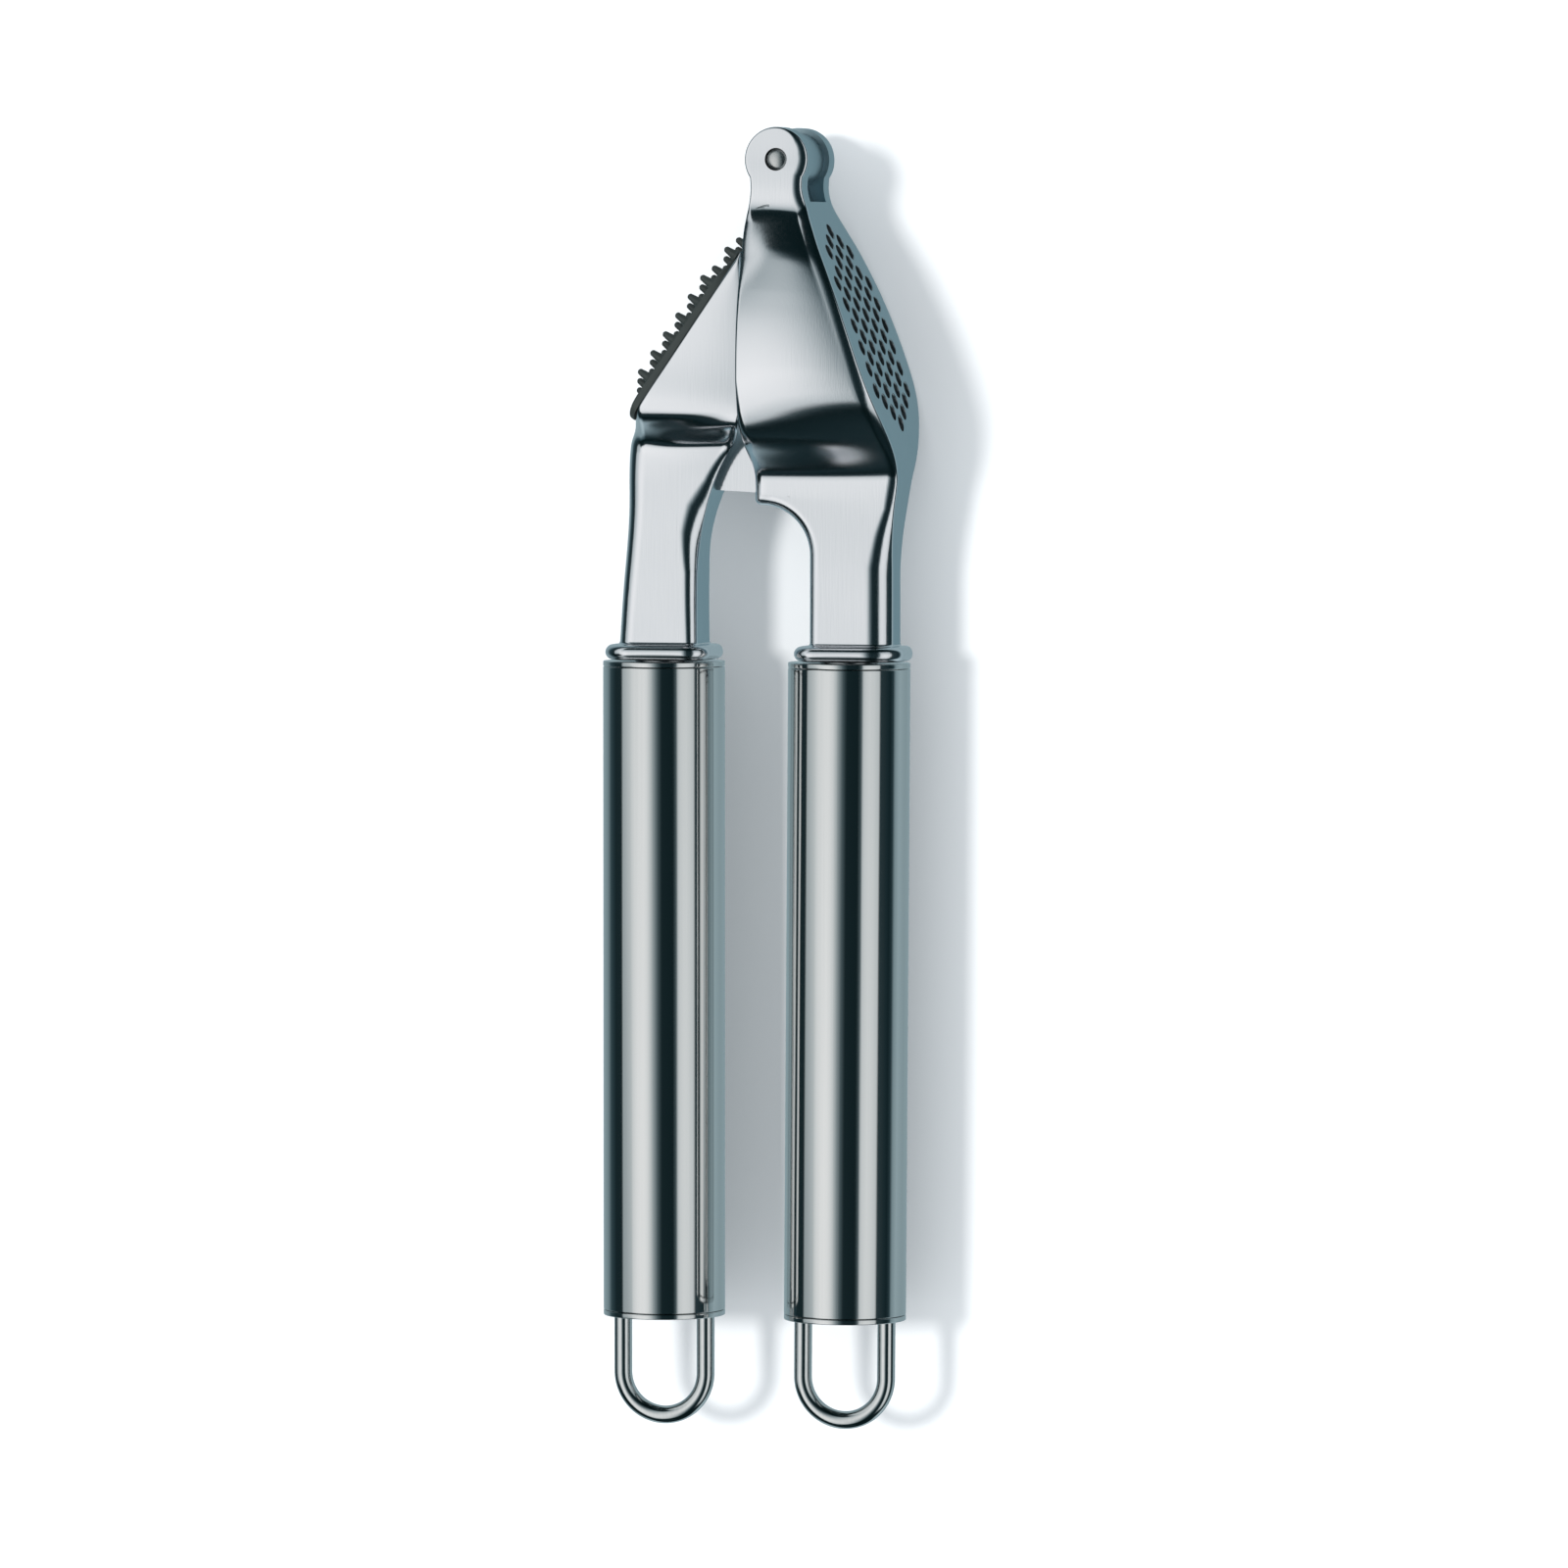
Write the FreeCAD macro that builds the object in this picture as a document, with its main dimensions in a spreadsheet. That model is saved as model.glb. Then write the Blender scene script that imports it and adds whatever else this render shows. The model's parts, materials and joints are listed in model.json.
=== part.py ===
import FreeCAD, Part
import math
import os
import Sketcher

# Garlic press: two lever arms on one hinge pin, lying on its side and closed.
# Every outline is drawn about the hinge axis. X runs from the plunger arm to the hopper arm,
# Y runs along the handles towards the head, and Z is the hinge axis.

doc = FreeCAD.newDocument("GarlicPress")
sheet = doc.addObject("Spreadsheet::Sheet", "Sizes")

sizes = {
    # place of the hinge axis in the part's frame
    "pivot_across": 5.45, "pivot_along": 96.1, "pivot_height": 16.06,
    # hinge
    "ear_radius": 5.0, "ear_waist": 4.15, "ear_reach": 8.4, "slot_width": 9.3, "slot_floor": 6.5,
    "eye_radius": 4.2, "eye_width": 9.0, "pin_radius": 1.75, "pin_length": 16.2, "pin_dome": 0.35,
    "running_gap": 0.05,
    # hopper arm
    "parting_face": 4.7, "crown_reach": 18.72, "neck_outer": 17.1, "neck_inner": 4.1, "neck_depth": 9.2,
    "bulge_reach": 16.15, "heel_bend": 7.8, "sieve_tilt": 22.33, "sieve_inner": 22.3,
    "hole_radius": 1.25, "row_pitch": 1.764, "column_pitch": 6.13, "first_row": 12.69,
    # hollow of the hopper, measured out from the hinge axis
    "hollow_start": 11.6, "hollow_reach": 11.1, "hollow_end": 45.0, "throat_end": 14.3,
    # plunger arm
    "parting_gap": 0.3, "ram_clearance": 0.35, "ram_stop": 21.3, "face_tilt": 34.6, "face_offset": 3.95,
    "head_width": 21.6, "plunger_outer": 26.8, "plunger_inner": 14.0, "heel_depth": 2.4, "heel_end": 51.5,
    # cleaning pad
    "pad_thickness": 1.2, "pad_offset": 2.7, "pad_reach": 10.5, "nub_radius": 0.62, "nub_height": 2.2,
    "peg_radius": 1.6, "peg_length": 4.0,
    # beads under the necks
    "bead_start": 75.2, "bead_height": 2.4, "bead_width": 17.4, "bead_depth": 13.6,
    # handles
    "tube_radius": 9.5, "tube_wall": 0.8, "handle_start": 77.8, "handle_length": 102.2, "disc_thickness": 0.8,
    "hopper_axis": 9.5, "plunger_axis": 20.4, "handle_lean": 0.37, "plug_length": 5.0,
    "tang_radius": 4.5, "tang_length": 22.0, "tang_top": 77.7,
    # hanging loops
    "wire_radius": 1.4, "loop_spread": 6.7, "loop_straight": 9.1, "leg_depth": 4.5,
}
for row, (alias, value) in enumerate(sizes.items(), start=1):
    sheet.set("A%d" % row, alias.replace("_", " "))
    sheet.set("B%d" % row, str(value))
    sheet.setAlias("B%d" % row, alias)
doc.recompute()

V = FreeCAD.Vector
hinge = V(sizes["pivot_across"], sizes["pivot_along"], sizes["pivot_height"])
far = 260.0                     # longer than any cut has to be


def size(alias):
    return float(sheet.get(alias))


def bind(thing, property_name, expression):
    thing.setExpression(property_name, expression)


def new_body(label, offset=V(0, 0, 0), turn=FreeCAD.Rotation()):
    """A body for one sub-part, placed from the hinge axis."""
    body = doc.addObject("PartDesign::Body", label)
    body.Label = label
    body.Placement = FreeCAD.Placement(hinge + offset, turn)
    return body


def new_sketch(body, name, role, offset=FreeCAD.Placement()):
    """A sketch on one of the body's own origin planes."""
    sketch = body.newObject("Sketcher::SketchObject", name)
    plane = [item for item in body.Origin.OriginFeatures if item.Role == role][0]
    sketch.AttachmentSupport = (plane, [""])
    sketch.MapMode = "FlatFace"
    sketch.AttachmentOffset = offset
    return sketch


def curve_through(points):
    spline = Part.BSplineCurve()
    spline.interpolate(points)
    return spline


def arc_through(start, middle, end):
    """An arc drawn counter-clockwise whichever way its three points run."""
    turn = (middle - start).cross(end - middle).z
    return Part.Arc(start, middle, end) if turn > 0 else Part.Arc(end, middle, start)


def trace(sketch, pieces):
    """Draws pieces end to end: two points are a line, ("arc", three points) an arc, more a smooth curve."""
    for piece in pieces:
        if piece[0] == "arc":
            points = [V(x, y, 0) for x, y in piece[1:]]
            sketch.addGeometry(arc_through(*points), False)
            continue
        points = [V(x, y, 0) for x, y in piece]
        if len(points) == 2:
            sketch.addGeometry(Part.LineSegment(*points), False)
        else:
            sketch.addGeometry(curve_through(points), False)


def polygon(sketch, corners):
    closed = list(corners) + [corners[0]]
    trace(sketch, [[a, b] for a, b in zip(closed, closed[1:])])


def mirrored(half):
    """An outline from its upper half: every piece again, reflected in the sketch's own X axis."""
    pieces = list(half)
    for piece in half:
        if piece[0] == "arc":
            pieces.append(["arc"] + [(x, -y) for x, y in piece[1:]])
        else:
            pieces.append([(x, -y) for x, y in piece])
    return pieces


def circle(sketch, centre, alias):
    """A circle whose radius is bound to a cell of the sheet."""
    index = sketch.addGeometry(Part.Circle(V(centre[0], centre[1], 0), V(0, 0, 1), size(alias)), False)
    radius = sketch.addConstraint(Sketcher.Constraint("Radius", index, size(alias)))
    bind(sketch, "Constraints[%d]" % radius, "Sizes." + alias)
    return index


def feature(body, kind, sketch, name):
    item = body.newObject("PartDesign::" + kind, name)
    item.Profile = (sketch, [""]) if kind in ("AdditiveLoft", "AdditivePipe") else sketch
    sketch.Visibility = False
    return item


def extrude(body, kind, sketch, name, expression, both_ways=True, flip=False):
    """A Pad or a Pocket whose length is an expression on the sheet."""
    item = feature(body, kind, sketch, name)
    item.Reversed = flip
    item.Midplane = both_ways
    bind(item, "Length", expression)
    return item


def swing(body, kind, sketch, name, ahead, behind):
    """A Revolution or a Groove about the sketch's own Y axis, by two bound angles."""
    item = feature(body, kind, sketch, name)
    item.ReferenceAxis = (sketch, ["V_Axis"])
    item.Type = "TwoAngles"
    bind(item, "Angle", ahead)
    bind(item, "Angle2", behind)
    return item


def frame_of(x_axis, y_axis, origin):
    """A placement from two of its axes."""
    turn = FreeCAD.Rotation(x_axis, y_axis, x_axis.cross(y_axis), "ZXY")
    return FreeCAD.Placement(origin, turn)


def sieve_pattern():
    """Centres of the sieve's holes and the pad's nubs: (across, along the face from the hinge)."""
    in_row = [1, 2, 3] + [2, 3] + [4, 3] * 6 + [2, 1]
    spots = []
    for row, count in enumerate(in_row):
        along = size("first_row") + row * size("row_pitch")
        for place in range(count):
            spots.append(((place - (count - 1) / 2) * size("column_pitch"), along))
    return spots


def keep_inside(body, name, role, outline, edge, expression):
    """Cuts away everything outside an outline by a pocket shaped as a frame around it."""
    sketch = new_sketch(body, name + "Outline", role)
    polygon(sketch, [(-edge, -edge), (edge, -edge), (edge, edge), (-edge, edge)])
    trace(sketch, outline)
    return extrude(body, "Pocket", sketch, name, expression)


def add_bead(body, centre):
    """The rounded collar that ends a neck: a rounded rectangle with a full-round edge."""
    half_width = size("bead_width") / 2
    half_depth = size("bead_depth") / 2
    corner = 4.3
    slant = corner * (1 - math.sqrt(0.5))
    upper_half = [
        [(centre - half_width, 0), (centre - half_width, half_depth - corner)],
        ["arc", (centre - half_width, half_depth - corner),
         (centre - half_width + slant, half_depth - slant), (centre - half_width + corner, half_depth)],
        [(centre - half_width + corner, half_depth), (centre + half_width - corner, half_depth)],
        ["arc", (centre + half_width - corner, half_depth),
         (centre + half_width - slant, half_depth - slant), (centre + half_width, half_depth - corner)],
        [(centre + half_width, half_depth - corner), (centre + half_width, 0)],
    ]
    # the XZ plane's normal is -Y, so its height is counted towards the handles
    sketch = new_sketch(body, "BeadOutline", "XZ_Plane", FreeCAD.Placement(V(0, 0, size("bead_start")),
                                                                          FreeCAD.Rotation()))
    trace(sketch, mirrored(upper_half))
    return extrude(body, "Pad", sketch, "Bead", "Sizes.bead_height", both_ways=False)


def make_hopper_casting():
    """Fork, hopper with its sieve, and neck, cast in one piece."""
    body = new_body("hopper_casting")
    left, ear, waist = -size("parting_face"), size("ear_radius"), size("ear_waist")
    shoulder = -math.sqrt(ear ** 2 - waist ** 2)
    neck_end = -size("bead_start")
    neck_side = size("neck_depth") / 2
    reach, crest = size("ear_reach"), size("bulge_reach")

    # front outlines on the parting face and on the sieve side, joined by straight lines across
    def front(points):
        return mirrored([[(6, 0), (6, reach)], [(6, reach), points[0]], points,
                         [points[-1], (neck_end, neck_side)], [(neck_end, neck_side), (neck_end, 0)]])

    parting_side = [(-5.6, reach), (-10.9, 9.4), (-18.5, 13.2), (-23.9, 14.9), (-29.9, crest - 0.3), (-37.5, 14.3),
                    (-41.6, 11.2), (-44.2, 6.6), (-47.5, neck_side)]
    sieve_side = [(-5.6, reach), (-8.7, 10.1), (-14.7, 12.6), (-20.8, 14.7), (-29.9, crest), (-36, 14.6),
                  (-42.1, 9.9), (-47, 6.0), (-52.5, neck_side)]
    near = new_sketch(body, "PartingOutline", "YZ_Plane",
                      FreeCAD.Placement(V(0, 0, left - 0.5), FreeCAD.Rotation()))
    trace(near, front(parting_side))
    away = new_sketch(body, "SieveOutline", "YZ_Plane",
                      FreeCAD.Placement(V(0, 0, size("crown_reach") + 0.5), FreeCAD.Rotation()))
    trace(away, front(sieve_side))
    doc.recompute()
    loft = feature(body, "AdditiveLoft", near, "Blank")
    loft.Sections = [(away, [""])]
    loft.Ruled = True
    doc.recompute()

    bend = size("heel_bend")
    inner, outer = size("neck_inner"), size("neck_outer")
    bend_x, bend_y = inner - bend, -61.2
    slant = bend * math.sqrt(0.5)
    crown = size("crown_reach")
    side = [
        ["arc", (-waist, shoulder), (0, ear), (waist, shoulder)],
        [(waist, shoulder), (waist, -5.3)],
        [(waist, -5.3), (6.0, -10.2), (10.9, -20.8), (15.6, -33.0), (18.2, -42.1), (crown, -46.0),
         (17.9, -52.5), (outer, -62.0)],
        [(outer, -62.0), (outer, neck_end)],
        [(outer, neck_end), (inner, neck_end)],
        [(inner, neck_end), (inner, bend_y)],
        ["arc", (inner, bend_y), (bend_x + slant, bend_y + slant), (bend_x, bend_y + bend)],
        [(bend_x, bend_y + bend), (left, bend_y + bend + 0.9)],
        [(left, bend_y + bend + 0.9), (left, -8.0)],
        [(left, -8.0), (-waist, -6.0)],
        [(-waist, -6.0), (-waist, shoulder)],
    ]
    keep_inside(body, "SideTrim", "XY_Plane", side, far / 2, "4 * Sizes.bulge_reach")
    doc.recompute()

    # the slot between the ears, and the throat below it that the plunger's lug lies in
    floor, stop, throat = size("slot_floor"), math.radians(size("sieve_inner")), size("throat_end")
    slot = new_sketch(body, "SlotOutline", "XY_Plane")
    polygon(slot, [(-20, -floor), (20, -floor), (20, 20), (-20, 20)])
    extrude(body, "Pocket", slot, "Slot", "Sizes.slot_width")
    doc.recompute()
    throat_sketch = new_sketch(body, "ThroatOutline", "XY_Plane")
    start_x = floor * math.tan(stop)
    end_x, end_y = throat * math.sin(stop), -throat * math.cos(stop)
    trace(throat_sketch, [
        [(-20, -floor + 1), (start_x, -floor + 1)],
        [(start_x, -floor + 1), (start_x, -floor)],
        [(start_x, -floor), (end_x, end_y)],
        ["arc", (end_x, end_y), (0, -throat), (-end_x, end_y)],
        [(-end_x, end_y), (-20, end_y)],
        [(-20, end_y), (-20, -floor + 1)],
    ])
    extrude(body, "Pocket", throat_sketch, "Throat", "Sizes.slot_width")
    doc.recompute()

    # the hollow is a leaf-shaped outline swung about the hinge, so that the ram fits it at every angle
    hollow = new_sketch(body, "HollowOutline", "YZ_Plane")
    trace(hollow, mirrored(leaf(0.0)))
    swing(body, "Groove", hollow, "Hollow", "Sizes.sieve_inner", "70")
    doc.recompute()

    tilt = math.radians(size("sieve_tilt"))
    outward = V(math.cos(tilt), math.sin(tilt), 0)
    down_face = V(math.sin(tilt), -math.cos(tilt), 0)
    holes = new_sketch(body, "SieveHoles", "XY_Plane", frame_of(V(0, 0, 1), down_face, outward * 6.0))
    for spot in sieve_pattern():
        circle(holes, spot, "hole_radius")
    extrude(body, "Pocket", holes, "Sieve", "8", both_ways=False)
    doc.recompute()

    bore = new_sketch(body, "BoreOutline", "XY_Plane")
    circle(bore, (0, 0), "pin_radius")
    extrude(body, "Pocket", bore, "PinBore", "4 * Sizes.ear_reach")
    add_bead(body, (inner + outer) / 2 - 0.3)
    doc.recompute()
    return body


def leaf(clearance):
    """Upper half of the hollow's outline, or of the ram's when it is drawn in by a clearance."""
    start, end = -size("hollow_start") - clearance, -size("hollow_end") + clearance
    reach = size("hollow_reach") - clearance
    entry = [(start, 0), (start - 1.1, 0.33 * reach), (start - 4.5, 0.74 * reach), (start - 9.9, reach)]
    exit_curve = [(end + 6.5, reach), (end + 3.0, 0.74 * reach), (end + 0.8, 0.34 * reach), (end, 0)]
    return [entry, [entry[-1], exit_curve[0]], exit_curve]


def make_plunger_casting():
    """Pivot eye, wedge head with the ram on its inner side, heel and neck, cast in one piece."""
    body = new_body("plunger_casting")
    parting = -size("parting_face") - size("parting_gap")
    tilt = math.radians(size("face_tilt"))
    outward = V(-math.cos(tilt), math.sin(tilt), 0)
    down_face = V(-math.sin(tilt), -math.cos(tilt), 0)
    foot = outward * -size("face_offset")

    def on_face(distance):
        point = foot + down_face * distance
        return (point.x, point.y)

    def face_at(across):
        return on_face((across - foot.x) / down_face.x)

    neck_end = -size("bead_start")
    outer, inner = -size("plunger_outer"), -size("plunger_inner")
    top, knee = face_at(parting), on_face(49.2)
    side = [
        [top, knee],
        [knee, (-25.3, -45.0), (-25.3, -54.0), (outer + 0.6, -66.0), (outer, neck_end)],
        [(outer, neck_end), (inner, neck_end)],
        [(inner, neck_end), (inner, -66.0)],
        [(inner, -66.0), (-13.5, -57.3), (-11.6, -51.2), (-8.7, -44.5), (-7.2, -41.5)],
        [(-7.2, -41.5), (parting, -40.6)],
        [(parting, -40.6), top],
    ]
    head = new_sketch(body, "HeadOutline", "XY_Plane")
    trace(head, side)
    extrude(body, "Pad", head, "Head", "Sizes.head_width")
    doc.recompute()
    half, neck_side = size("head_width") / 2, size("neck_depth") / 2
    front = mirrored([[(6, 0), (6, half)], [(6, half), (-37.6, half)],
                      [(-37.6, half), (-39.6, 10.0), (-42.0, 7.0), (-44.0, 5.0), (-46.5, neck_side)],
                      [(-46.5, neck_side), (neck_end - 5, neck_side)],
                      [(neck_end - 5, neck_side), (neck_end - 5, 0)]])
    keep_inside(body, "FrontTrim", "YZ_Plane", front, far / 2, "4 * Sizes.plunger_outer")
    doc.recompute()

    ram = new_sketch(body, "RamOutline", "YZ_Plane")
    trace(ram, mirrored(leaf(size("ram_clearance"))))
    swing(body, "Revolution", ram, "Ram", "Sizes.ram_stop", "38")
    doc.recompute()
    over_face = new_sketch(body, "FaceOutline", "XY_Plane")
    high, low = on_face(-20), on_face(50)
    polygon(over_face, [high, low, (low[0] - 60, low[1]), (low[0] - 60, 60), (high[0], 60)])
    extrude(body, "Pocket", over_face, "FlatFace", "3 * Sizes.head_width")
    doc.recompute()

    # the eye turns between the ears, and the lug joins it to the head through the throat
    eye = new_sketch(body, "EyeOutline", "XY_Plane")
    circle(eye, (0, 0), "eye_radius")
    extrude(body, "Pad", eye, "Eye", "Sizes.eye_width")
    doc.recompute()
    side_angle = math.radians(size("ram_stop") - 1.0)
    lug_end = size("throat_end") - size("ram_clearance")
    lug = new_sketch(body, "LugOutline", "XY_Plane")
    below = (lug_end * math.sin(side_angle), -lug_end * math.cos(side_angle))
    polygon(lug, [(-4.0, -1.25), (-2.0, -7.5), on_face(9.0), on_face(12.0), (0, -lug_end), below,
                  (0.3 * below[0], 0.3 * below[1]), (0, 0)])
    extrude(body, "Pad", lug, "Lug", "Sizes.eye_width")
    doc.recompute()
    heel = new_sketch(body, "HeelOutline", "XY_Plane")
    heel_end = -size("heel_end")
    polygon(heel, [(parting, -40.0), (-12.5, -40.0), (-12.5, heel_end), (parting, heel_end)])
    extrude(body, "Pad", heel, "Heel", "Sizes.heel_depth")
    doc.recompute()
    bore = new_sketch(body, "BoreOutline", "XY_Plane")
    circle(bore, (0, 0), "pin_radius")
    bind(bore, "Constraints[0]", "Sizes.pin_radius + Sizes.running_gap")
    extrude(body, "Pocket", bore, "PinBore", "2 * Sizes.eye_width")
    doc.recompute()
    # blind sockets for the pad's pegs, from the flat face inwards
    pegs = new_sketch(body, "PegSockets", "XY_Plane", frame_of(V(0, 0, -1), down_face, outward * 2.0))
    for along in peg_places():
        circle(pegs, (0, along), "peg_radius")
    extrude(body, "Pocket", pegs, "Sockets", "Sizes.peg_length + Sizes.face_offset + 2", both_ways=False)
    add_bead(body, (outer + inner) / 2 - 0.2)
    doc.recompute()
    return body


def peg_places():
    """Distances from the hinge of the pad's two fixing pegs, each midway between rows of nubs."""
    return [size("first_row") + steps * size("row_pitch") for steps in (5.0, 14.0)]


def pad_placement():
    """The pad's own frame: X across the head, Y down the slanted face, Z outwards."""
    tilt = math.radians(size("face_tilt"))
    down_face = V(-math.sin(tilt), -math.cos(tilt), 0)
    return frame_of(V(0, 0, -1), down_face, V(0, 0, 0)).Rotation


def make_cleaning_pad():
    """Plastic pad on the plunger head, with one nub for every hole of the sieve."""
    body = new_body("cleaning_pad", turn=pad_placement())
    reach, start, end = size("pad_reach"), 11.2, 46.2
    half = [
        [(0, start), (2.6, start)],
        [(2.6, start), (4.1, start + 1.5)],
        [(4.1, start + 1.5), (4.2, start + 3.5)],
        [(4.2, start + 3.5), (6.6, start + 5.2), (9.6, start + 8.4), (reach, start + 12.5)],
        [(reach, start + 12.5), (reach, end - 3.0)],
        ["arc", (reach, end - 3.0), (reach - 3.0 + 3.0 * math.sqrt(0.5), end - 3.0 + 3.0 * math.sqrt(0.5)),
         (reach - 3.0, end)],
        [(reach - 3.0, end), (0, end)],
    ]
    both = list(half)
    for piece in half:
        if piece[0] == "arc":
            both.append(["arc"] + [(-x, y) for x, y in piece[1:]])
        else:
            both.append([(-x, y) for x, y in piece])
    offset = FreeCAD.Placement(V(0, 0, -size("pad_offset")), FreeCAD.Rotation())
    plate = new_sketch(body, "PlateOutline", "XY_Plane", offset)
    trace(plate, both)
    extrude(body, "Pad", plate, "Plate", "Sizes.pad_thickness", both_ways=False, flip=True)
    doc.recompute()
    nubs = new_sketch(body, "NubOutline", "XY_Plane", offset)
    for spot in sieve_pattern():
        circle(nubs, spot, "nub_radius")
    extrude(body, "Pad", nubs, "Nubs", "Sizes.nub_height", both_ways=False)
    doc.recompute()
    return body


def make_pad_pegs():
    """Two plastic pegs behind the pad that hold it in the plunger head."""
    body = new_body("pad_pegs", turn=pad_placement())
    offset = FreeCAD.Placement(V(0, 0, -size("pad_offset") - size("pad_thickness")), FreeCAD.Rotation())
    ends = new_sketch(body, "PegOutline", "XY_Plane", offset)
    for along in peg_places():
        circle(ends, (0, along), "peg_radius")
    extrude(body, "Pad", ends, "Pegs", "Sizes.peg_length", both_ways=False, flip=True)
    return body


def make_pivot_pin():
    """Hinge pin, pressed into both ears, with slightly domed ends."""
    body = new_body("pivot_pin")
    radius, half, dome = size("pin_radius"), size("pin_length") / 2, size("pin_dome")
    sketch = new_sketch(body, "PinOutline", "XZ_Plane")
    crown_x = 0.55 * radius
    trace(sketch, [
        [(0, -half), (crown_x, -half + 0.08), (radius, -half + dome)],
        [(radius, -half + dome), (radius, half - dome)],
        [(radius, half - dome), (crown_x, half - 0.08), (0, half)],
        [(0, half), (0, -half)],
    ])
    turned = feature(body, "Revolution", sketch, "Pin")
    turned.ReferenceAxis = (sketch, ["V_Axis"])
    turned.Angle = 360
    return body


def handle_offset(side, distance):
    """A point on a handle's axis, a distance below the handle's upper end."""
    start = -size("handle_start")
    if side == "plunger":
        return V(-size("plunger_axis"), start - distance, 0), FreeCAD.Rotation()
    lean = math.radians(size("handle_lean"))
    point = V(size("hopper_axis") - distance * math.sin(lean), start - distance * math.cos(lean), 0)
    return point, FreeCAD.Rotation(V(0, 0, 1), -size("handle_lean"))


def ring_body(label, side, distance, outer, inner, length):
    """A round piece along a handle's axis: two bound circles padded down the handle."""
    point, turn = handle_offset(side, distance)
    body = new_body(label, point, turn)
    sketch = new_sketch(body, "EndOutline", "XZ_Plane")
    for centre_alias in [name for name in (outer, inner) if name]:
        circle(sketch, (0, 0), centre_alias)
    # the XZ plane's normal is -Y, down the handle
    extrude(body, "Pad", sketch, "Length", length, both_ways=False)
    return body


def make_handle(side):
    """Tang, closing disc, tube, end cap and hanging loop of one arm."""
    disc = size("disc_thickness")
    tang = ring_body(side + "_tang", side, size("tang_top") - size("handle_start"), "tang_radius", None,
                     "Sizes.tang_length")
    collar = ring_body(side + "_handle_disc", side, 0, "tube_radius", "tang_radius", "Sizes.disc_thickness")
    tube = ring_body(side + "_handle_tube", side, disc, "tube_radius", "tube_radius",
                     "Sizes.handle_length - 2 * Sizes.disc_thickness")
    doc.recompute()
    bind(doc.getObject(tube.Name).Group[0], "Constraints[1]", "Sizes.tube_radius - Sizes.tube_wall")

    point, turn = handle_offset(side, size("handle_length") - disc)
    cap = new_body(side + "_handle_cap", point, turn)
    rim = new_sketch(cap, "RimOutline", "XZ_Plane")
    circle(rim, (0, 0), "tube_radius")
    extrude(cap, "Pad", rim, "Rim", "Sizes.disc_thickness", both_ways=False)
    plug = new_sketch(cap, "PlugOutline", "XZ_Plane")
    circle(plug, (0, 0), "tube_radius")
    bind(plug, "Constraints[0]", "Sizes.tube_radius - Sizes.tube_wall")
    extrude(cap, "Pad", plug, "Plug", "Sizes.plug_length", both_ways=False, flip=True)
    doc.recompute()
    sockets = new_sketch(cap, "LegSockets", "XZ_Plane",
                         FreeCAD.Placement(V(0, 0, disc), FreeCAD.Rotation()))
    for across in (-size("loop_spread"), size("loop_spread")):
        circle(sockets, (across, 0), "wire_radius")
    extrude(cap, "Pocket", sockets, "Sockets", "Sizes.leg_depth", both_ways=False)

    point, turn = handle_offset(side, size("handle_length"))
    loop = new_body(side + "_hanging_loop", point, turn)
    spread, straight, leg = size("loop_spread"), size("loop_straight"), size("leg_depth")
    path = new_sketch(loop, "WirePath", "XY_Plane")
    trace(path, [[(-spread, leg), (-spread, -straight)],
                 ["arc", (-spread, -straight), (0, -straight - spread), (spread, -straight)],
                 [(spread, -straight), (spread, leg)]])
    wire = new_sketch(loop, "WireSection", "XZ_Plane", FreeCAD.Placement(V(0, 0, -leg), FreeCAD.Rotation()))
    circle(wire, (-spread, 0), "wire_radius")
    doc.recompute()
    pipe = feature(loop, "AdditivePipe", wire, "Wire")
    pipe.Spine = (path, [""])
    path.Visibility = False
    doc.recompute()
    return [tang, collar, tube, cap, loop]


sub_parts = [make_hopper_casting(), make_plunger_casting(), make_cleaning_pad(), make_pad_pegs(), make_pivot_pin()]
for arm in ("hopper", "plunger"):
    sub_parts += make_handle(arm)
doc.recompute()

for item in doc.Objects:
    for word in ("Invalid", "Error"):
        if word in item.State:
            raise RuntimeError("%s is %s" % (item.Name, item.State))

os.makedirs("parts", exist_ok=True)
whole = FreeCAD.BoundBox()
for part in sub_parts:
    shape = part.Shape
    if shape.isNull() or not shape.isValid() or len(shape.Solids) < 1:
        raise RuntimeError("%s has no valid solid" % part.Label)
    shape.exportStep("parts/%s.step" % part.Label)
    whole.add(shape.optimalBoundingBox(False, False))
    print("%-24s solids %2d  volume %9.1f mm3" % (part.Label, len(shape.Solids), shape.Volume))
print("box X %.2f %.2f  Y %.2f %.2f  Z %.2f %.2f" % (whole.XMin, whole.XMax, whole.YMin, whole.YMax,
                                                    whole.ZMin, whole.ZMax))
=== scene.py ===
import json
import math
import bmesh
import bpy
import numpy as np
from mathutils import Matrix, Vector


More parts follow.
